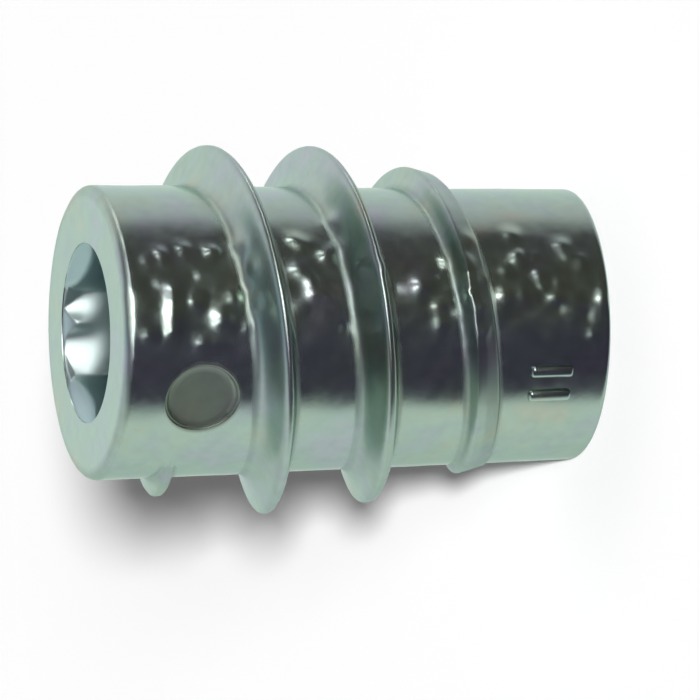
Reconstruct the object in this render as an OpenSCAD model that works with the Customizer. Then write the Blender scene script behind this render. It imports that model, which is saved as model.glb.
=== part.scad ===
// Threaded insert with a hex drive, one zinc die casting.
// It stands on its tip end: the tip face is at z = 0 and the drive end is up.
// Lengths are in millimetres and directions in degrees, counter-clockwise from +X seen from above.

/* [Body] */

// Length from the tip face to the drive face
body_length = 13.6; // [10:0.1:30]
// Outside diameter at the drive end
drive_end_diameter = 7.9; // [6.5:0.05:12]
// Outside diameter at the tip end
tip_end_diameter = 7.3; // [6:0.05:11.5]
// Rounding of the outer rim at the drive end
drive_rim_radius = 0.24; // [0.05:0.01:0.5]
// Rounding of the outer rim at the tip end
tip_rim_radius = 0.14; // [0.05:0.01:0.5]

/* [Coarse outer thread] */

// Distance along the axis from one turn to the next
thread_pitch = 2.87; // [2:0.01:5]
// Height of the full thread above the body
thread_height = 1.1; // [0.4:0.02:1.6]
// Width of the crest before its edges are rounded
thread_crest_width = 0.24; // [0.2:0.01:0.9]
// Lean of each flank away from square to the axis
thread_flank_angle = 15; // [8:0.5:32]
// Rounding of the crest's edges
thread_crest_radius = 0.12; // [0.04:0.01:0.3]
// Distance of the thread's first point below the drive face
thread_start_setback = 1.72; // [1.2:0.01:4]
// Direction in which the thread starts
thread_start_angle = 214; // [0:1:359]
// Turn over which the thread rises to its full height
thread_lead_in_turn = 115; // [40:5:240]
// Length along the axis of the cone that cuts the last turns down
thread_run_out_length = 4.3; // [1.5:0.05:6]
// Plain length of body between the end of that cone and the tip face
plain_tip_length = 2.35; // [1:0.05:5]

/* [Hex socket] */

// Width across the flats of the socket
hex_across_flats = 4.05; // [3:0.05:5]
// Depth of the flats below the drive face
hex_depth = 4.8; // [2:0.1:8]
// Slope of the countersink at the socket's mouth, from the axis
hex_countersink_angle = 60; // [30:1:75]

/* [Screw bore] */

// Diameter of the bore that carries the machine thread
bore_diameter = 3.3; // [2.4:0.05:4]
// Slope of the seat between the socket and the bore, from the axis
seat_angle = 60; // [30:1:75]
// Width of the chamfer at the bore's mouth in the tip face
mouth_chamfer = 0.45; // [0.1:0.05:0.8]

/* [Ejector pin mark] */

// Diameter of the mark's flat floor
pin_mark_diameter = 1.78; // [0.8:0.01:2.4]
// Depth of the floor below the body's surface
pin_mark_depth = 0.2; // [0.12:0.01:0.4]
// Distance of the mark's centre below the drive face
pin_mark_setback = 2.23; // [1.5:0.05:5]
// Direction in which the mark faces
pin_mark_angle = 242; // [0:1:359]
// Slope of the mark's wall, from its axis
pin_mark_draft = 30; // [0:1:50]

/* [Hidden] */

ROUND_FACETS = 120;
TURN_STEPS = 48;
RIM_STEPS = 5;
CREST_STEPS = 3;
OVERCUT = 0.5;
ROOT_SINK = 0.3;
START_SINK = 0.1;

body_lean = atan((drive_end_diameter - tip_end_diameter) / 2 / body_length);
bore_radius = bore_diameter / 2;
hex_floor_z = body_length - hex_depth;
seat_radius = hex_across_flats / 2;
seat_height = (seat_radius - bore_radius) / tan(seat_angle);
hex_corner_radius = seat_radius / cos(30);
countersink_depth = (hex_corner_radius - seat_radius) / tan(hex_countersink_angle);

flank_slope = tan(thread_flank_angle);
thread_half_base = thread_crest_width / 2 + thread_height * flank_slope;
run_out_slope = thread_height / thread_run_out_length;
thread_turned = 360 * (body_length - plain_tip_length + thread_half_base - thread_start_setback)
    / thread_pitch;
thread_steps = ceil(thread_turned / 360 * TURN_STEPS);

// Radius of the tapered body at a height.
function body_radius(z) =
    (tip_end_diameter + (drive_end_diameter - tip_end_diameter) * z / body_length) / 2;

// Corner b of the path a, b, c, rounded and given as steps + 1 points.
function rounded_corner(a, b, c, radius, steps) =
    let (
        toward_a = (a - b) / norm(a - b),
        toward_c = (c - b) / norm(c - b),
        half = acos(max(-1, min(1, toward_a * toward_c))) / 2,
        reach = min(radius / tan(half), 0.45 * norm(a - b), 0.45 * norm(c - b)),
        start = b + toward_a * reach,
        end = b + toward_c * reach
    )
    [for (i = [0 : steps]) let (s = i / steps)
        (1 - s) * (1 - s) * start + 2 * s * (1 - s) * b + s * s * end];

// Half of the body's section, with both outer rims rounded.
function rim_arc(z, radius, from, to) =
    let (x = body_radius(z) - radius / cos(body_lean))
    [for (i = [0 : RIM_STEPS]) let (a = from + (to - from) * i / RIM_STEPS)
        [x + radius * cos(a), z + radius * sin(a)]];

module body() {
    rotate_extrude($fn = ROUND_FACETS)
        polygon(concat(
            [[0, 0]],
            rim_arc(tip_rim_radius, tip_rim_radius, -90, -body_lean),
            rim_arc(body_length - drive_rim_radius, drive_rim_radius, -body_lean, 90),
            [[0, body_length]]
        ));
}

// Section of the thread after it has turned by a number of degrees from its start, as
// [height above the body, distance along the axis towards the drive end] from its centre.
// It rises out of the body over the lead-in, and the run-out cone then cuts its crest down.
function thread_section(turned) =
    let (
        ease = turned < thread_lead_in_turn ? sin(90 * turned / thread_lead_in_turn) : 1,
        rise = (thread_height + START_SINK) * ease - START_SINK,
        to_run_out_end = body_length - plain_tip_length - thread_start_setback
            - thread_pitch * turned / 360,
        cone = to_run_out_end * run_out_slope,
        cut_drive = min(rise, (cone + run_out_slope * thread_half_base)
            / (1 + run_out_slope * flank_slope)),
        cut_tip = min(rise, max(-ROOT_SINK / 2, (cone - run_out_slope * thread_half_base)
            / (1 - run_out_slope * flank_slope))),
        half_base = thread_crest_width / 2 + rise * flank_slope,
        root_half = half_base + ROOT_SINK * flank_slope,
        root_drive = [-ROOT_SINK, root_half],
        top_drive = [cut_drive, half_base - cut_drive * flank_slope],
        top_tip = [cut_tip, -half_base + cut_tip * flank_slope],
        root_tip = [-ROOT_SINK, -root_half]
    )
    concat(
        [root_drive],
        rounded_corner(root_drive, top_drive, top_tip, thread_crest_radius, CREST_STEPS),
        rounded_corner(top_drive, top_tip, root_tip, thread_crest_radius, CREST_STEPS),
        [root_tip]
    );

module thread() {
    ring = 2 * CREST_STEPS + 4;
    points = [for (i = [0 : thread_steps])
        let (
            turned = thread_turned * i / thread_steps,
            angle = thread_start_angle - turned,
            centre_z = body_length - thread_start_setback - thread_pitch * turned / 360
        )
        for (p = thread_section(turned))
            let (z = centre_z + p[1], r = body_radius(z) + p[0])
            [r * cos(angle), r * sin(angle), z]];
    faces = concat(
        [[for (j = [ring - 1 : -1 : 0]) j]],
        [for (i = [0 : thread_steps - 1], j = [0 : ring - 1])
            let (k = (j + 1) % ring, a = i * ring, b = a + ring)
            each [[a + j, b + k, b + j], [a + j, a + k, b + k]]],
        [[for (j = [0 : ring - 1]) thread_steps * ring + j]]
    );
    polyhedron(points, faces, convexity = 8);
}

module drive_socket() {
    translate([0, 0, hex_floor_z])
        cylinder(h = hex_depth + OVERCUT, r = hex_corner_radius, $fn = 6);
    translate([0, 0, body_length - countersink_depth])
        cylinder(h = countersink_depth, r1 = seat_radius, r2 = hex_corner_radius,
            $fn = ROUND_FACETS);
    translate([0, 0, hex_floor_z - seat_height])
        cylinder(h = seat_height, r1 = bore_radius, r2 = seat_radius, $fn = ROUND_FACETS);
}

module screw_bore() {
    translate([0, 0, -OVERCUT])
        cylinder(h = body_length, r = bore_radius, $fn = ROUND_FACETS);
    translate([0, 0, -OVERCUT])
        cylinder(h = mouth_chamfer + OVERCUT, r1 = bore_radius + mouth_chamfer + OVERCUT,
            r2 = bore_radius, $fn = ROUND_FACETS);
}

module pin_mark() {
    centre_z = body_length - pin_mark_setback;
    height = pin_mark_depth + OVERCUT;
    rotate([0, 0, pin_mark_angle])
        translate([body_radius(centre_z) - pin_mark_depth, 0, centre_z])
            rotate([0, 90, 0])
                cylinder(h = height, r1 = pin_mark_diameter / 2,
                    r2 = pin_mark_diameter / 2 + height * tan(pin_mark_draft),
                    $fn = ROUND_FACETS / 2);
}

module threaded_insert() {
    color([0.66, 0.71, 0.69])
        difference() {
            union() {
                body();
                thread();
            }
            drive_socket();
            screw_bore();
            pin_mark();
        }
}

threaded_insert();
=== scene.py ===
import math
import random

import bmesh
import bpy
import numpy as np
from mathutils import Matrix, Vector, kdtree, noise


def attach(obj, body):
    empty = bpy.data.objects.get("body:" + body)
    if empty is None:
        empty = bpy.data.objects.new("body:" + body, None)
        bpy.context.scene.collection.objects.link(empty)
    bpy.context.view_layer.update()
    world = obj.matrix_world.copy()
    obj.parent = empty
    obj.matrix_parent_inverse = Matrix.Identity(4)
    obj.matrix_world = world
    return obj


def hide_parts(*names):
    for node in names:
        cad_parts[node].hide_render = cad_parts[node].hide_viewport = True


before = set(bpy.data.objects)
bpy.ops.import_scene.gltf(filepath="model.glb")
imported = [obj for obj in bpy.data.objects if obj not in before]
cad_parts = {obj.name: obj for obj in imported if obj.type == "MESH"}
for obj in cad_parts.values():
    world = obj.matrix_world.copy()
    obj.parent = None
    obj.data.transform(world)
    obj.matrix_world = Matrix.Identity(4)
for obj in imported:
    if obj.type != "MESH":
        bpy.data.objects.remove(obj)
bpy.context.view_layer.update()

random.seed(41)
noise.seed_set(41)

MM = 0.001

# ---------------------------------------------------------------- sizes, in millimetres
LENGTH = 13.6
R_DRIVE, R_TIP = 3.95, 3.65
DRIVE_RIM, TIP_RIM = 0.24, 0.14

PITCH = 2.87
HEIGHT = 1.1
CREST_WIDTH = 0.24
FLANK = math.tan(math.radians(15))
START_SETBACK, START_ANGLE = 1.72, 214.0
LEAD_IN, START_SINK = 115.0, 0.1
RUN_OUT_END = LENGTH - 2.35
RUN_OUT_SLOPE = HEIGHT / 4.3
CREST_SOFT, FOOT_DRIVE, FOOT_TIP = 0.36, 1.0, 0.3
RUN_OUT_SOFT = 0.08

HEX_HALF, HEX_DEPTH, HEX_CORNER = 2.025, 4.8, 0.14
HEX_OUT = HEX_HALF / math.cos(math.pi / 6)
SINK_SLOPE = math.tan(math.radians(60))
SINK_EDGE, SINK_SOFT = 0.08, 0.32
BORE_R, THREAD_MAJOR_R, THREAD_PITCH = 1.65, 2.0, 0.7
SEAT_HEIGHT = (HEX_HALF - BORE_R) / math.tan(math.radians(60))
MOUTH_CHAMFER = 0.45
CREST_SHARE = 0.68  # of the length between the machine thread's grooves
THREAD_FADE = 0.5

PIN_R, PIN_DEPTH, PIN_SETBACK, PIN_ANGLE = 0.89, 0.2, 2.23, math.radians(242)
PIN_DRAFT = math.tan(math.radians(30))
LIP = 0.06

BAR_SETBACK, BAR_ANGLES = 11.95, (250, 239)
BAR_LENGTH, BAR_WIDTH, BAR_HEIGHT, BAR_ROUNDING = 1.2, 0.32, 0.12, 0.11

COLUMNS = 312
BORE_COLUMNS = COLUMNS // 3


# ---------------------------------------------------------------- the form
def body_radius(s):
    """Radius of the tapered body at a distance s below the drive face."""
    return R_TIP + (R_DRIVE - R_TIP) * (LENGTH - s) / LENGTH


def soft_min(a, b, k):
    return np.minimum(a, b) - np.maximum(k - np.abs(a - b), 0) ** 2 / (4 * k)


def soft_max(a, b, k):
    return -soft_min(-a, -b, k)


def thread_form(angle, s):
    """How far into the coarse thread a place lies, its foot and its height there.

    angle is in radians, and s is the distance below the drive face.
    """
    first = np.mod(START_ANGLE - np.degrees(angle), 360.0)
    turn = np.round((s - START_SETBACK - PITCH * first / 360) / PITCH)
    turned = first + 360 * turn
    past = s - START_SETBACK - PITCH * turned / 360
    off = np.abs(past)
    lead_in = np.sin(np.radians(90 * np.clip(turned, 0, LEAD_IN) / LEAD_IN))
    ease = np.where(turned < LEAD_IN, lead_in, 1.0)
    rise = (HEIGHT + START_SINK) * ease - START_SINK + np.minimum(turned, 0) * 0.006
    flank = (CREST_WIDTH / 2 + rise * FLANK - off) / FLANK
    cone = (RUN_OUT_END - s) * RUN_OUT_SLOPE
    top = soft_min(rise, cone, RUN_OUT_SOFT)
    soft = np.clip(CREST_SOFT * top / HEIGHT * 1.6, 0.06, CREST_SOFT)
    foot = np.where(past < 0, FOOT_DRIVE, FOOT_TIP) * np.clip(top / HEIGHT, 0.15, 1)
    return soft_min(flank, top, soft), foot, top


def outer_radius(angle, s):
    form, foot, _ = thread_form(angle, s)
    return body_radius(s) + soft_max(form, 0.0 * form, foot)


def hex_radius(angle, half, corner):
    """Distance from the axis to a hexagon with corners on the X axis, rounded by corner."""
    t = np.mod(angle, math.pi / 3) - math.pi / 6
    flat = half / np.cos(t)
    centre = (half - corner) / math.cos(math.pi / 6)
    d = math.pi / 6 - np.abs(t)
    bend = centre * np.cos(d) + np.sqrt(np.maximum(corner ** 2 - (centre * np.sin(d)) ** 2, 0))
    edge = math.atan((half - corner) * math.tan(math.pi / 6) / half)
    return np.where(np.abs(t) > edge, bend, flat)


def bore_radius(angle, z):
    """Wall of the machine thread, with the chamfer at the tip and a fade under the seat."""
    top = LENGTH - HEX_DEPTH - SEAT_HEIGHT
    phase = np.mod(z - THREAD_PITCH * angle / (2 * math.pi), THREAD_PITCH)
    depth = THREAD_MAJOR_R - BORE_R
    run = depth * math.tan(math.pi / 6)
    crest = (THREAD_PITCH - 2 * run) * CREST_SHARE
    up = (phase - crest) / run
    down = (THREAD_PITCH - phase) / run
    groove = np.clip(np.minimum(up, down), 0, 1) * depth
    fade = np.clip((top - z) / THREAD_FADE, 0, 1)
    return np.maximum(BORE_R + groove * fade, BORE_R + MOUTH_CHAMFER - z)


# ---------------------------------------------------------------- mesh builder
verts, quads, tris, kinds = [], [], [], []
SIDE, FACE, INSIDE = 0, 1, 2
count = 0


def add_points(x, y, z, kind):
    global count
    pts = np.stack([np.ravel(x), np.ravel(y), np.ravel(z)], 1)
    verts.append(pts)
    kinds.append(np.full(len(pts), kind))
    ids = np.arange(count, count + len(pts)).reshape(np.shape(x))
    count += len(pts)
    return ids


def add_faces(a, b, c, d):
    """Quads a b c d, with those that have shrunk to triangles or to nothing sorted out."""
    f = np.stack([np.ravel(v) for v in (a, b, c, d)], 1)
    ab, cd = f[:, 0] == f[:, 1], f[:, 2] == f[:, 3]
    ad, bc = f[:, 0] == f[:, 3], f[:, 1] == f[:, 2]
    quads.append(f[~(ab | cd | ad | bc)])
    tris.append(f[ab & ~cd & ~ad & ~bc][:, [0, 2, 3]])
    tris.append(f[cd & ~ab & ~ad & ~bc][:, [0, 1, 2]])
    tris.append(f[ad & ~ab & ~cd & ~bc][:, [0, 1, 2]])
    tris.append(f[bc & ~ab & ~cd & ~ad][:, [0, 1, 3]])


def join_rings(upper, lower):
    add_faces(upper, lower, np.roll(lower, -1), np.roll(upper, -1))


def join_three_to_one(fine, coarse, flip):
    """Joins a ring to one with a third of its points."""
    assert len(fine) == 3 * len(coarse)
    f0, f1, f2 = fine[0::3], fine[1::3], fine[2::3]
    f3 = np.roll(f0, -1)
    c0, c1 = coarse, np.roll(coarse, -1)
    for t in ((f0, c0, f1), (f1, c0, f2), (f2, c0, c1), (f2, c1, f3)):
        t = np.stack(t, 1)
        tris.append(t[:, ::-1] if flip else t)


def spiral(columns, pitch, offsets, base, lo, hi, snap, falling, place):
    """A band between lo and hi whose rows follow a helix. Rows that leave it end on its edges.

    base is where the helix's middle row lies on each column, and snap is the distance within
    which a row joins an edge. falling says that the helix goes down as the angle grows.
    """
    m = len(offsets)
    first = int(math.floor((lo - base.max()) / pitch)) - 2
    last = int(math.ceil((hi - base.min()) / pitch)) + 2
    rows = np.concatenate([np.array(offsets) + t * pitch for t in range(first, last + 1)])
    pos = base[:, None] + rows[None, :]
    at_lo, at_hi = pos <= lo + snap, pos >= hi - snap
    pos = np.where(at_lo, lo, np.where(at_hi, hi, pos))
    edge_angle = np.arange(columns) * 2 * math.pi / columns
    angle = edge_angle[:, None] + 0 * pos
    free = ~(at_lo | at_hi)
    id_lo = place(edge_angle, lo + 0 * edge_angle)
    id_hi = place(edge_angle, hi + 0 * edge_angle)
    ids = np.zeros(pos.shape, int)
    ids[free] = place(angle[free], pos[free])
    ids = np.where(at_lo, id_lo[:, None], np.where(at_hi, id_hi[:, None], ids))
    shift = -m if falling else m
    wrapped = np.roll(ids[0], -shift)
    if falling:
        wrapped[:m] = id_lo[0]
    else:
        wrapped[-m:] = id_hi[0]
    following = np.concatenate([ids[1:], wrapped[None, :]])
    add_faces(ids[:, :-1], ids[:, 1:], following[:, 1:], following[:, :-1])
    return id_lo, id_hi


def place_outer(angle, s):
    r = outer_radius(angle, s)
    return add_points(r * np.cos(angle), r * np.sin(angle), LENGTH - s, SIDE)


def place_bore(angle, z):
    r = bore_radius(angle, z)
    return add_points(r * np.cos(angle), r * np.sin(angle), z, INSIDE)


ring_angle = np.arange(COLUMNS) * 2 * math.pi / COLUMNS
bore_angle = np.arange(BORE_COLUMNS) * 2 * math.pi / BORE_COLUMNS


def ring(angle, r, z, kind):
    r = r + 0 * angle
    return add_points(r * np.cos(angle), r * np.sin(angle), z + 0 * angle, kind)


def next_ring(last, r, z, kind, rising=True):
    """A ring joined to the last one. rising says that it takes the upper place of the two."""
    here = ring(ring_angle, r, z, kind)
    if rising:
        join_rings(here, last)
    else:
        join_rings(last, here)
    return here


lean = math.atan((R_DRIVE - R_TIP) / LENGTH)


def rim(z, radius, a0, a1, steps):
    """Points of a rounded rim, from one direction to another in the section."""
    x = body_radius(LENGTH - z) - radius / math.cos(lean)
    turn = np.linspace(a0, a1, steps + 1)
    return [(x + radius * math.cos(a), z + radius * math.sin(a)) for a in turn]


# The side: thread and body in one spiral band, with level rows above and below it. The rows are
# given by their distance from the middle of the thread, and the last of them shares the rest of
# the pitch out evenly.
ROWS = [0.03, 0.07, 0.11, 0.15, 0.19, 0.235, 0.28, 0.33, 0.38, 0.43, 0.49, 0.55, 0.61, 0.67]
GAP_ROWS = 18
SPIRAL_LO, SPIRAL_HI = 0.92, 12.1
SNAP = 0.022
gap = PITCH - 2 * ROWS[-1]
offsets = [-v for v in reversed(ROWS)] + [0.0] + ROWS
offsets += [ROWS[-1] + gap * i / GAP_ROWS for i in range(1, GAP_ROWS)]
thread_middle = START_SETBACK + PITCH * (START_ANGLE - np.degrees(ring_angle)) / 360
side_lo, side_hi = spiral(
    COLUMNS, PITCH, offsets, thread_middle, SPIRAL_LO, SPIRAL_HI, SNAP, True, place_outer)

upper = [(body_radius(s), LENGTH - s) for s in np.linspace(SPIRAL_LO, DRIVE_RIM + 0.06, 8)[1:]]
upper += rim(LENGTH - DRIVE_RIM, DRIVE_RIM, -lean, math.pi / 2, 7)
below = side_lo
for r, z in upper:
    below = next_ring(below, r, z, SIDE if z < LENGTH - 0.01 else FACE)
face_outer = R_DRIVE - DRIVE_RIM
mouth = HEX_OUT + SINK_EDGE
for t in np.linspace(0, 1, 15)[1:]:
    below = next_ring(below, face_outer + (mouth - face_outer) * t, LENGTH, FACE)

# A countersink a little wider than the hexagon's corners cuts the flats back at the mouth. The
# rows of the wall are closest together there: from one depth to another, in so many steps.
hex_floor = LENGTH - HEX_DEPTH
wall = hex_radius(ring_angle, HEX_HALF, HEX_CORNER)
WALL_ROWS = [(0, 0.06, 4), (0.06, 0.34, 14), (0.34, 1.6, 18), (1.6, HEX_DEPTH - 0.05, 8)]
for start, end, steps in WALL_ROWS:
    for depth in np.linspace(start, end, steps + 1)[1:]:
        sunk = depth * depth / (2 * SINK_EDGE) if depth < SINK_EDGE else depth - SINK_EDGE / 2
        cone = mouth - SINK_SLOPE * sunk
        below = next_ring(below, soft_max(wall, cone + 0 * wall, SINK_SOFT), LENGTH - depth, INSIDE)
seat_r = HEX_HALF - 0.03
for t, z in ((0.15, hex_floor + 0.015), (0.45, hex_floor), (1.0, hex_floor)):
    below = next_ring(below, wall + (seat_r - wall) * t, z, INSIDE)

bore_top = hex_floor - SEAT_HEIGHT
BORE_ROWS = [0.0, 0.1, 0.2, 0.3, 0.4, 0.45, 0.5, 0.6]
bore_lo, bore_hi = spiral(
    BORE_COLUMNS, THREAD_PITCH, BORE_ROWS, THREAD_PITCH * bore_angle / (2 * math.pi),
    0.0, bore_top, 0.01, False, place_bore)
seat_mid = ring(bore_angle, (seat_r + BORE_R) / 2, hex_floor - SEAT_HEIGHT / 2, INSIDE)
join_three_to_one(below, seat_mid, True)
join_rings(bore_hi, seat_mid)

above = side_hi
lower = [(body_radius(s), LENGTH - s)
         for s in np.linspace(SPIRAL_HI, LENGTH - TIP_RIM - 0.04, 16)[1:]]
lower += list(reversed(rim(TIP_RIM, TIP_RIM, -math.pi / 2, -lean, 5)))
for r, z in lower:
    above = next_ring(above, r, z, SIDE if z > 0.001 else FACE, rising=False)
mouth_r = BORE_R + MOUTH_CHAMFER
tip_outer = R_TIP - TIP_RIM
for t in (0.2, 0.4, 0.6, 0.8):
    above = next_ring(above, tip_outer + (mouth_r - tip_outer) * t, 0.0, FACE, rising=False)
join_three_to_one(above, bore_lo, False)

points = np.concatenate(verts)
kind = np.concatenate(kinds)
quad_list = np.concatenate(quads)
tri_list = np.concatenate(tris)


def link_object(name, data):
    obj = bpy.data.objects.new(name, data)
    bpy.context.scene.collection.objects.link(obj)
    return obj


def make_mesh(name, pts, faces):
    mesh = bpy.data.meshes.new(name)
    mesh.from_pydata((pts * MM).tolist(), [], faces)
    mesh.update()
    return link_object(name, mesh)


insert = make_mesh("insert_casting", points, quad_list.tolist() + tri_list.tolist())
insert.data.polygons.foreach_set("use_smooth", [True] * len(insert.data.polygons))
insert.data.update()

# ---------------------------------------------------------------- cast relief, as real form
mesh = insert.data
n_verts = len(mesh.vertices)
co = np.zeros(n_verts * 3)
mesh.vertices.foreach_get("co", co)
co = co.reshape(-1, 3) / MM
normal = np.zeros(n_verts * 3)
mesh.vertex_normals.foreach_get("vector", normal)
normal = normal.reshape(-1, 3)

tree = kdtree.KDTree(n_verts)
for i in range(n_verts):
    tree.insert(co[i], i)
tree.balance()

relief = np.zeros(n_verts)
face_ids = np.flatnonzero((kind == FACE) & (co[:, 2] > 1))


def bump_at(c, sigma, amp):
    """Raises or lowers the surface softly around vertex c."""
    for _, i, d in tree.find_range(Vector(co[c]), 2.6 * sigma):
        facing = normal[i] @ normal[c]
        if facing > 0.2:
            relief[i] += amp * facing * math.exp(-d * d / (2 * sigma * sigma))


def nodule(s, angle, sigma, amp):
    """One nodule or pit of the casting. angle is in degrees from the side that the photo shows."""
    a = math.radians(angle - 90)
    r = float(outer_radius(np.array([a]), np.array([s]))[0])
    bump_at(tree.find(Vector((r * math.cos(a), r * math.sin(a), LENGTH - s)))[1], sigma, amp)


def sow(number, lo, hi, size, steep, rise_share):
    """Nodules and pits of random place, size and steepness between two directions."""
    for _ in range(number):
        sigma = random.uniform(*size)
        amp = random.uniform(*steep) * sigma * (1 if random.random() < rise_share else -1)
        nodule(random.uniform(0.35, LENGTH - 0.25), random.uniform(lo, hi), sigma, amp)


# The casting is roughest on one side. These are its nodules there, by size, each as its place
# below the drive face and its direction. All but the last two of SMALL were read off the photo by
# eye, and a scratch program turned them into millimetres and degrees and wrote the lists.
LARGE = [(3.36, 33), (3.57, 22), (1.33, 6), (2.71, 5), (4.53, -4), (6.09, 46), (4.95, 24),
         (6.54, 23), (7.39, -3), (8.32, 17), (9.51, 13)]
MIDDLING = [(4.14, 48), (3.62, 10), (5.8, 30), (5.32, 14), (6.55, 8), (9.68, 33), (9.49, 24),
            (9.87, 7), (11.11, 40), (11.11, 28), (10.59, 13), (11.14, 13), (12.46, 35),
            (13.64, 15), (13.39, 10), (5.18, 35), (6.95, 51)]
SMALL = [(1.37, 16), (9.92, -2), (5.23, 19), (1.17, 31), (1.87, 33), (2.57, 32), (6.09, 34),
         (4.9, 38), (9.04, 28), (11.67, 22), (12.05, 12), (12.93, 28), (8.72, 8), (7.2, 28),
         (2.99, 13), (1.96, 12), (1.33, 12), (1.3, 0)]
NODULE_STEEPNESS = 0.38
for places, size in ((LARGE, 0.21), (MIDDLING, 0.18), (SMALL, 0.155)):
    for setback, direction in places:
        nodule(setback, direction, size, NODULE_STEEPNESS * size)
# A knock on the drive rim.
for direction in range(-1, 16, 2):
    nodule(0.15, direction, 0.10, -0.014)

# Smaller ones on two sides of the body, and softer ones there and all over it.
for lo, hi in ((-7, 37), (130, 200)):
    sow(34, lo, hi, (0.10, 0.15), (0.28, 0.36), 0.7)
    sow(130, lo - 12, hi + 8, (0.14, 0.22), (0.010, 0.035), 0.5)
    sow(60, lo - 12, hi + 8, (0.22, 0.34), (0.012, 0.030), 0.6)
sow(120, -180, 180, (0.22, 0.32), (0.010, 0.024), 0.5)
sow(90, -180, 180, (0.4, 0.7), (0.014, 0.026), 0.5)
# Soft waves of the drive face and of the side.
for _ in range(40):
    spot = face_ids[random.randrange(len(face_ids))]
    sigma = random.uniform(0.3, 0.5)
    bump_at(spot, sigma, random.uniform(-0.003, 0.004))
for i in range(n_verts):
    if kind[i] == SIDE:
        relief[i] += 0.006 * noise.noise(Vector(co[i]) * 0.9)

# Soft hollows in the far wall of the socket, open towards its mouth: middle across the socket,
# half width, depth of the lower end, slope towards the mouth and slope across.
HOLLOWS = [(-0.57, 0.68, 0.98, 0.33, 0.13), (0.79, 0.44, 0.90, 0.33, 0.10)]
dent = np.zeros(n_verts)
down = LENGTH - co[:, 2]
for middle, half_width, low_end, slope, slant in HOLLOWS:
    across = (co[:, 0] - middle) / half_width
    low = low_end - 0.22 * np.minimum(across * across, 4)
    plane = slope * (low - down) + slant * across * half_width
    dent += np.exp(-0.7 * across ** 6) * soft_max(plane, 0 * plane, 0.10)
far_wall = (co[:, 1] > 0.8) & (co[:, 2] > LENGTH - 2.5) & (kind == INSIDE)
mouth_y = np.sqrt(np.maximum((mouth - 0.03) ** 2 - co[:, 0] ** 2, 0))
dent = np.clip(np.minimum(HEX_HALF + dent, mouth_y) - co[:, 1], 0, dent) * far_wall

# The relief fades out around the pin mark and at the tip, and the tip face has none.
pin_turn = np.mod(np.arctan2(co[:, 1], co[:, 0]) - PIN_ANGLE + math.pi, 2 * math.pi) - math.pi
pin_side = R_DRIVE * np.sin(np.clip(pin_turn, -0.6, 0.6))
pin_away = np.hypot(pin_side, LENGTH - co[:, 2] - PIN_SETBACK)
relief *= np.where(np.abs(pin_turn) < 0.6, np.clip((pin_away - PIN_R - 0.15) / 0.4, 0, 1), 1)
relief[kind == SIDE] *= np.clip((co[kind == SIDE, 2] - 0.02) / 0.2, 0, 1)
relief[(kind == FACE) & (co[:, 2] < 1)] = 0
moved = co + normal * relief[:, None]
moved[:, 1] += dent
moved[:, 2] = np.clip(moved[:, 2], 0.0, LENGTH)
mesh.vertices.foreach_set("co", (moved * MM).ravel())
mesh.update()


# ---------------------------------------------------------------- cast index bars
def object_from(bm, name):
    """An object with the mesh that bm holds. bm is freed."""
    data = bpy.data.meshes.new(name)
    bm.to_mesh(data)
    bm.free()
    return link_object(name, data)


def index_bar(name, angle):
    """A short raised bar with rounded edges, along the axis on the body's surface."""
    bm = bmesh.new()
    bmesh.ops.create_cube(bm, size=1.0)
    bmesh.ops.scale(bm, vec=(2 * BAR_HEIGHT, BAR_WIDTH, BAR_LENGTH), verts=bm.verts)
    bmesh.ops.bevel(
        bm, geom=bm.edges[:], offset=BAR_ROUNDING, segments=4, profile=0.5, affect="EDGES")
    bmesh.ops.scale(bm, vec=(MM, MM, MM), verts=bm.verts)
    turn = Matrix.Rotation(math.radians(angle), 4, "Z")
    spot = Vector((body_radius(BAR_SETBACK) * MM, 0, (LENGTH - BAR_SETBACK) * MM))
    out = Matrix.Translation(spot)
    tilt = Matrix.Rotation(lean, 4, "Y")
    bmesh.ops.transform(bm, matrix=turn @ out @ tilt, verts=bm.verts)
    return object_from(bm, name)


def pin_cutter():
    """Solid that cuts the ejector pin's mark: a flat floor, a drafted wall and a rounded lip."""
    steps = 96
    floor = body_radius(PIN_SETBACK) - PIN_DEPTH
    turn = np.arange(steps) * 2 * math.pi / steps

    def surface(r):
        side = r * np.sin(turn)
        return np.sqrt(body_radius(PIN_SETBACK - r * np.cos(turn)) ** 2 - side ** 2)

    wall = PIN_R + 0 * turn
    for _ in range(12):
        wall = PIN_R + (surface(wall) - LIP - floor) * PIN_DRAFT
    rings = [(PIN_R * t + 0 * turn, floor + 0 * turn) for t in (0.4, 0.8, 0.94)]
    rings += [(PIN_R + 0.02 + 0 * turn, floor + 0.02 + 0 * turn), (wall, surface(wall) - LIP)]
    for i in range(1, 6):
        a = math.radians(60) * i / 5
        r = wall + LIP * (math.sin(math.radians(30) + a) - 0.5) * 2.2
        rings.append((r, surface(r) - LIP * math.cos(a * 1.45)))
    last = rings[-1][0]
    rings += [(last + 0.05, surface(last) + 0.08), (last + 0.05, surface(last) * 0 + floor + 1.0)]

    bm = bmesh.new()
    rows = []
    c, d = math.cos(PIN_ANGLE), math.sin(PIN_ANGLE)
    for r, h in rings:
        side, axial = r * np.sin(turn), r * np.cos(turn)
        spots = np.stack([h * c - side * d, h * d + side * c, LENGTH - PIN_SETBACK + axial], 1) * MM
        rows.append([bm.verts.new(v) for v in spots])
    for lower_row, upper_row in zip(rows, rows[1:]):
        for i in range(steps):
            j = (i + 1) % steps
            bm.faces.new((lower_row[i], upper_row[i], upper_row[j], lower_row[j]))
    bm.faces.new(rows[0])
    bm.faces.new(reversed(rows[-1]))
    bmesh.ops.recalc_face_normals(bm, faces=bm.faces[:])
    return object_from(bm, "pin_cutter")


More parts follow.
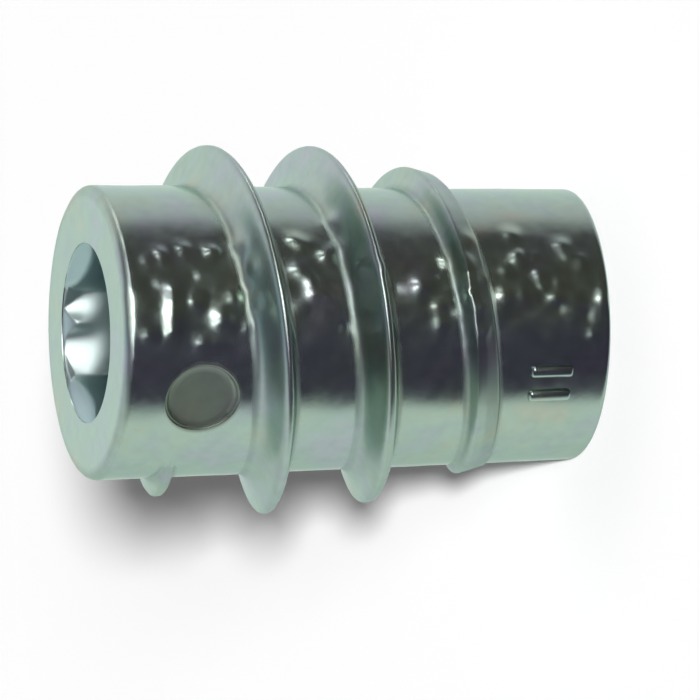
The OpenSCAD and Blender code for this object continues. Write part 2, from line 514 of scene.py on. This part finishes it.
tools = [("UNION", index_bar(name, angle)) for name, angle in zip(("bar_a", "bar_b"), BAR_ANGLES)]
tools.append(("DIFFERENCE", pin_cutter()))
for operation, tool in tools:
    step = insert.modifiers.new(operation.lower(), "BOOLEAN")
    step.operation = operation
    step.solver = "MANIFOLD"
    step.object = tool
bpy.context.view_layer.update()
graph = bpy.context.evaluated_depsgraph_get()
joined = bpy.data.meshes.new_from_object(insert.evaluated_get(graph))
insert.modifiers.clear()
insert.data = joined
joined.name = "insert_casting"
for _, tool in tools:
    bpy.data.objects.remove(tool)
insert.data.polygons.foreach_set("use_smooth", [True] * len(insert.data.polygons))
insert.data.set_sharp_from_angle(angle=math.radians(50))

# Where the thread and its foot lie, for the material: 0 at the edge of the foot, more on the
# thread, and -1 inside the insert.
spots = np.zeros(len(joined.vertices) * 3)
joined.vertices.foreach_get("co", spots)
x, y, z = spots.reshape(-1, 3).T / MM
form, foot, top = thread_form(np.arctan2(y, x), LENGTH - z)
form = np.clip(form + foot - 12 * np.maximum(RUN_OUT_SOFT - top, 0), -1, 2)
form[np.hypot(x, y) < R_TIP - 0.3] = -1
on_mesh = joined.attributes.new("thread_form", "FLOAT", "POINT")
on_mesh.data.foreach_set("value", form.astype(np.float32))


# ---------------------------------------------------------------- materials
class Graph:
    """The node tree of a material or world, with one call for each kind of step in it."""

    def __init__(self, owner):
        owner.use_nodes = True
        self.nodes, self.links = owner.node_tree.nodes, owner.node_tree.links
        self.nodes.clear()

    def add(self, kind, **inputs):
        """A node of a kind, with inputs set by name."""
        node = self.nodes.new("ShaderNode" + kind)
        for name, value in inputs.items():
            node.inputs[name].default_value = value
        return node

    def feed(self, socket, value):
        """Links an output to an input, or sets the input to a plain value."""
        if isinstance(value, bpy.types.NodeSocket):
            self.links.new(value, socket)
        else:
            socket.default_value = value

    def math(self, operation, a, b):
        node = self.add("Math")
        node.operation = operation
        self.feed(node.inputs[0], a)
        self.feed(node.inputs[1], b)
        return node.outputs[0]

    def vector(self, operation, a, b=None, output="Vector"):
        """A step on vectors. b is left out where the operation takes one."""
        node = self.add("VectorMath")
        node.operation = operation
        self.feed(node.inputs[0], a)
        if b is not None:
            self.feed(node.inputs["Scale" if operation == "SCALE" else 1], b)
        return node.outputs[output]

    def span(self, value, low, high, at_low=0.0, at_high=1.0, soft=True):
        """at_low where value is low, at_high where it is high, and no further."""
        node = self.add("MapRange")
        node.interpolation_type = "SMOOTHSTEP" if soft else "LINEAR"
        ends = (("From Min", low), ("From Max", high), ("To Min", at_low), ("To Max", at_high))
        for name, end in ends:
            node.inputs[name].default_value = end
        self.links.new(value, node.inputs["Value"])
        return node.outputs["Result"]

    def ramp(self, value, stops):
        """Colours at places from 0 to 1."""
        node = self.add("ValToRGB")
        elements = node.color_ramp.elements
        while len(elements) < len(stops):
            elements.new(0.5)
        for element, (position, colour) in zip(elements, stops):
            element.position = position
            element.color = (*colour, 1)
        self.links.new(value, node.inputs["Fac"])
        return node.outputs["Color"]

    def mix(self, share, a, b, blend="MIX"):
        """Colour a where share is 0 and b where it is 1."""
        node = self.add("Mix")
        node.data_type = "RGBA"
        node.blend_type = blend
        for socket, value in ((0, share), (6, a), (7, b)):
            self.feed(node.inputs[socket], value)
        return node.outputs[2]

    def mix_shader(self, share, a, b):
        node = self.add("MixShader")
        for socket, value in enumerate((share, a, b)):
            self.links.new(value, node.inputs[socket])
        return node.outputs[0]

    def noise(self, where, scale, detail):
        node = self.add("TexNoise", Scale=scale, Detail=detail)
        self.links.new(where, node.inputs["Vector"])
        return node.outputs["Fac"]

    def parts(self, vector):
        """The X, Y and Z of a vector."""
        node = self.add("SeparateXYZ")
        self.links.new(vector, node.inputs[0])
        return node.outputs


# Colours of the passivated zinc, from bluish violet through mint to green and to straw.
PASSIVATION = [(0.30, (0.475, 0.505, 0.54)), (0.42, (0.445, 0.525, 0.51)),
               (0.52, (0.445, 0.545, 0.495)), (0.62, (0.455, 0.545, 0.475)),
               (0.74, (0.505, 0.535, 0.455))]
EDGE_TINT = (0.754, 0.88, 0.823, 1)
# Painted shade for the pin mark's floor: its colour is multiplied darker and warmer.
PIN_PAINTED_SHADE = (0.75, 0.70, 0.66, 1)
# Painted light and shade for the socket: a lighter colour across its middle and a darker, bluer one
# towards its corners.
SOCKET_CORNER_PAINTED_SHADE, SOCKET_MIDDLE_PAINTED_LIGHT = (0.45, 0.58, 0.60, 1), (0.66, 0.77, 0.75, 1)
ROUGH_THREAD, ROUGH_PAST_FOOT, ROUGH_RIM, ROUGH_SOCKET, ROUGH_PIN = 0.50, 0.33, 0.40, 0.43, 0.5


def zinc_plate():
    """Plated zinc, with painted shade on the pin mark's floor, painted light and shade in the
    socket, and marks for the thread and the drive rim.
    """
    mat = bpy.data.materials.new("zinc_plate")
    graph = Graph(mat)
    bsdf = graph.add("BsdfPrincipled", Metallic=1.0)
    bsdf.inputs["Specular Tint"].default_value = EDGE_TINT
    where = graph.add("TexCoord").outputs["Object"]
    height = graph.parts(where)["Z"]
    grime = graph.noise(where, 2600, 4)
    flat = graph.vector("MULTIPLY", where, (1, 1, 0))
    across = graph.vector("MULTIPLY", where, (1, 0, 0))

    def within(source, centre, inner, outer):
        """1 nearer than inner to the centre, 0 beyond outer, in millimetres."""
        away = graph.vector("DISTANCE", source, centre, "Value")
        return graph.span(away, outer * MM, inner * MM)

    floor_r = body_radius(PIN_SETBACK) - PIN_DEPTH
    pin_centre = [v * MM for v in (
        floor_r * math.cos(PIN_ANGLE), floor_r * math.sin(PIN_ANGLE), LENGTH - PIN_SETBACK)]
    in_pin = within(where, pin_centre, 0.98, 1.12)
    in_socket = within(flat, (0, 0, 0), 2.43, 2.47)
    inside = graph.math("MULTIPLY", in_socket, graph.math("LESS_THAN", height, (LENGTH - 0.03) * MM))
    thread = graph.add("Attribute")
    thread.attribute_name = "thread_form"
    on_thread = graph.span(thread.outputs["Fac"], -0.5, 0.0)
    past_foot = graph.span(thread.outputs["Fac"], 0.2, 0.7)
    drive_end = graph.span(height, (LENGTH - 0.26) * MM, (LENGTH - 0.14) * MM)
    from_axis = graph.vector("LENGTH", flat, output="Value")
    rim_band = graph.math("MULTIPLY", drive_end, graph.span(from_axis, 3.55 * MM, 3.75 * MM))

    # The plating's tint drifts over the surface. In the socket, light and shade are painted into the
    # colour: lighter across its middle, darker and bluer towards its corners.
    tint = graph.ramp(graph.noise(where, 620, 2), PASSIVATION)
    tint = graph.vector("SCALE", tint, graph.span(grime, 0.3, 0.7, 0.94, 1.04, soft=False))
    # Painted shade: the pin mark's floor is darkened by multiplying its colour.
    tint = graph.mix(in_pin, tint, PIN_PAINTED_SHADE, "MULTIPLY")
    socket_painted_light_and_shade = graph.mix(within(across, (0, 0, 0), 1.0, 1.5), SOCKET_CORNER_PAINTED_SHADE, SOCKET_MIDDLE_PAINTED_LIGHT)
    graph.feed(bsdf.inputs["Base Color"], graph.mix(inside, tint, socket_painted_light_and_shade))

    # The thread, its foot, the drive rim, the socket and the pin mark are duller than the body.
    gloss = graph.span(grime, 0.3, 0.7, 0.20, 0.27, soft=False)
    for share, value in ((on_thread, ROUGH_THREAD), (past_foot, ROUGH_PAST_FOOT),
                         (rim_band, ROUGH_RIM), (inside, ROUGH_SOCKET), (in_pin, ROUGH_PIN)):
        blend = graph.add("Mix")
        for name, part in (("Factor", share), ("A", gloss), ("B", value)):
            graph.feed(blend.inputs[name], part)
        gloss = blend.outputs["Result"]
    graph.feed(bsdf.inputs["Roughness"], gloss)

    bump = graph.add("Bump", Strength=0.08, Distance=0.00002)
    graph.feed(bump.inputs["Height"], graph.noise(where, 5200, 3))
    graph.feed(bsdf.inputs["Normal"], bump.outputs["Normal"])
    graph.feed(graph.add("OutputMaterial").inputs[0], bsdf.outputs[0])
    return mat


insert.data.materials.clear()
insert.data.materials.append(zinc_plate())

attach(insert, "root")
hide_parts("threaded_insert")


# ---------------------------------------------------------------- floor
FLOOR_RADIUS, FADE_FROM, FADE_TO = 80 * MM, 56 * MM, 78 * MM


def make_floor():
    """A pale disc that fades out towards its edge, and that metal doesn't show."""
    bm = bmesh.new()
    bmesh.ops.create_circle(bm, cap_ends=True, segments=96, radius=FLOOR_RADIUS)
    obj = object_from(bm, "floor")
    mat = bpy.data.materials.new("floor")
    graph = Graph(mat)
    diffuse = graph.add("BsdfDiffuse", Color=(0.97, 0.97, 0.97, 1))
    clear = graph.add("BsdfTransparent")
    away = graph.vector("LENGTH", graph.add("TexCoord").outputs["Object"], output="Value")
    surface = graph.mix_shader(
        graph.span(away, FADE_FROM, FADE_TO), diffuse.outputs[0], clear.outputs[0])
    graph.feed(graph.add("OutputMaterial").inputs[0], surface)
    obj.data.materials.append(mat)
    obj.visible_glossy = False
    return obj


floor = make_floor()


# ---------------------------------------------------------------- light
WHITE = (1.0, 1.0, 1.0)
# Walls of the room: direction from the photographed side towards +X, and colour.
ROOM = [(-180, WHITE), (-172, (0.96, 0.96, 0.96)), (-160, (0.72, 0.76, 0.73)),
        (-120, (0.775, 0.85, 0.80)), (-70, (0.84, 0.94, 0.88)), (-60, (0.060, 0.054, 0.076)),
        (-10, (0.056, 0.050, 0.075)), (30, (0.074, 0.071, 0.055)), (84, (0.090, 0.083, 0.088)),
        (104, (0.66, 0.66, 0.68)), (150, WHITE), (180, WHITE)]
# Ceiling: height as the direction's Z, how much of it shows there, and colour.
CEILING = [(-1, 0.0, (0.5, 0.4, 0.6)), (0.6, 0.0, (0.5, 0.4, 0.6)),
           (0.72, 0.14, (0.52, 0.40, 0.66)), (0.86, 0.16, (0.52, 0.42, 0.66)),
           (0.93, 0.35, (0.45, 0.45, 0.60)), (0.985, 1.0, (0.32, 0.44, 0.50))]
# Small lamps of the room: direction like the walls', height, half width, and brightness.
LAMPS = [(98, 5, 7, 4.6), (72, 5, 7, 4.6), (46, 5, 7, 4.6), (20, 5, 7, 4.6), (-8, 5, 7, 4.4)]
# Windows: direction, half width, lowest and highest Z of its direction, half width of the soft
# side edges, and brightness. The first is bright, and the second a dim band above the horizon.
WINDOWS = [(15, 13, 0.08, 0.52, 4, 4.4), (45, 55, 0.01, 0.40, 10, 0.20)]


def make_world():
    """What metal shows, what lights everything else, and the white that the camera sees."""
    world = bpy.data.worlds.new("studio")
    bpy.context.scene.world = world
    graph = Graph(world)
    where = graph.add("TexCoord").outputs["Generated"]
    x, y, z = graph.parts(where)
    # Direction around Z, in turns from the photographed side towards +X, from -0.5 to 0.5.
    turn = graph.math("ARCTAN2", x, graph.math("MULTIPLY", y, -1.0))
    turn = graph.math("DIVIDE", turn, 2 * math.pi)

    # The walls give way to the ceiling.
    walls = graph.ramp(graph.math("ADD", turn, 0.5), [(deg / 360 + 0.5, tone) for deg, tone in ROOM])
    level = graph.math("ADD", graph.math("MULTIPLY", z, 0.5), 0.5)
    share = graph.ramp(level, [(up / 2 + 0.5, (part, part, part)) for up, part, _ in CEILING])
    tone = graph.ramp(level, [(up / 2 + 0.5, colour) for up, _, colour in CEILING])
    room = graph.mix(share, walls, tone)

    for az, elev, size, power in LAMPS:
        a, e = math.radians(az), math.radians(elev)
        toward = (math.cos(e) * math.sin(a), -math.cos(e) * math.cos(a), math.sin(e))
        aim = graph.vector("DOT_PRODUCT", where, toward, "Value")
        edge, core = math.cos(math.radians(size)), math.cos(math.radians(size * 0.6))
        room = graph.vector("ADD", room, graph.span(aim, edge, core, at_high=power))
    for az, half_az, low_z, high_z, edge, power in WINDOWS:
        aside = graph.math("ABSOLUTE", graph.math("SUBTRACT", turn, az / 360), 0.0)
        sides = graph.span(aside, (half_az + edge) / 360, (half_az - edge) / 360)
        sill = graph.span(z, low_z - 0.04, low_z + 0.04)
        lintel = graph.span(z, high_z + 0.1, high_z - 0.1)
        pane = graph.math("MULTIPLY", sides, graph.math("MULTIPLY", sill, lintel))
        room = graph.vector("ADD", room, graph.math("MULTIPLY", pane, power))

    shown, light = graph.add("Background"), graph.add("Background")
    graph.feed(shown.inputs["Color"], room)
    graph.feed(light.inputs["Color"], graph.span(z, 0.15, 0.40, 0.9, 0.0))
    seen = graph.add("Background", Color=(1, 1, 1, 1))
    path = graph.add("LightPath")
    last = light.outputs[0]
    for ray, background in (("Is Glossy Ray", shown), ("Is Camera Ray", seen)):
        last = graph.mix_shader(path.outputs[ray], last, background.outputs[0])
    graph.feed(graph.add("OutputWorld").inputs["Surface"], last)


make_world()


def soft_sun(name, energy, angle, toward):
    """A soft lamp whose light travels in the direction toward."""
    sun = bpy.data.lights.new(name, "SUN")
    sun.energy = energy
    sun.angle = math.radians(angle)
    obj = link_object(name, sun)
    obj.rotation_euler = Vector(toward).to_track_quat("-Z", "Y").to_euler()
    return obj


# The metal shows the room, so the lamps light the floor alone and throw the object's shadow on
# it. Two are low and throw it far back, and one above draws it round the foot: name, direction of
# the light to the side, its fall, 1 for away from the photographed side and -1 for towards it,
# energy and width.
LOW = math.tan(math.radians(16.6))
FLOOR_LAMPS = [("low", 3.0, LOW, 1, 8.6, 3.6), ("low_wide", 7.0, LOW, 1, 0.9, 8.0),
               ("above", 32, 3.85, -1, 0.28, 25)]
floor_only = bpy.data.collections.new("floor_only")
floor_only.objects.link(floor)
for name, side, fall, way, energy, width in FLOOR_LAMPS:
    side = math.radians(side)
    lamp = soft_sun(name, energy, width, (-math.sin(side), way * math.cos(side), -fall))
    lamp.light_linking.receiver_collection = floor_only

# ---------------------------------------------------------------- camera
DISTANCE = 290.5 * MM
WIDTH_SEEN = 18.83 * MM
ELEVATION, TILT = math.radians(17.0), math.radians(1.07)
MIDDLE = Vector((0, 0, 6.75 * MM))
# Where the middle shows: this far right of and above the picture's centre.
MIDDLE_SEEN = (-0.511 * MM, 0.578 * MM)

back = Vector((0, -math.cos(ELEVATION), math.sin(ELEVATION)))
up0 = Vector((1, 0, 0))
right0 = up0.cross(back)
right = right0 * math.cos(TILT) - up0 * math.sin(TILT)
up = up0 * math.cos(TILT) + right0 * math.sin(TILT)
aim = MIDDLE - right * MIDDLE_SEEN[0] - up * MIDDLE_SEEN[1]
data = bpy.data.cameras.new("camera")
data.sensor_width = 36
data.lens = 36 * DISTANCE / WIDTH_SEEN
data.clip_start, data.clip_end = 0.01, 10
camera = link_object("camera", data)
turn = Matrix((right, up, back)).transposed().to_4x4()
camera.matrix_world = Matrix.Translation(aim + back * DISTANCE) @ turn
bpy.context.scene.camera = camera

bpy.context.scene.view_settings.view_transform = "Standard"
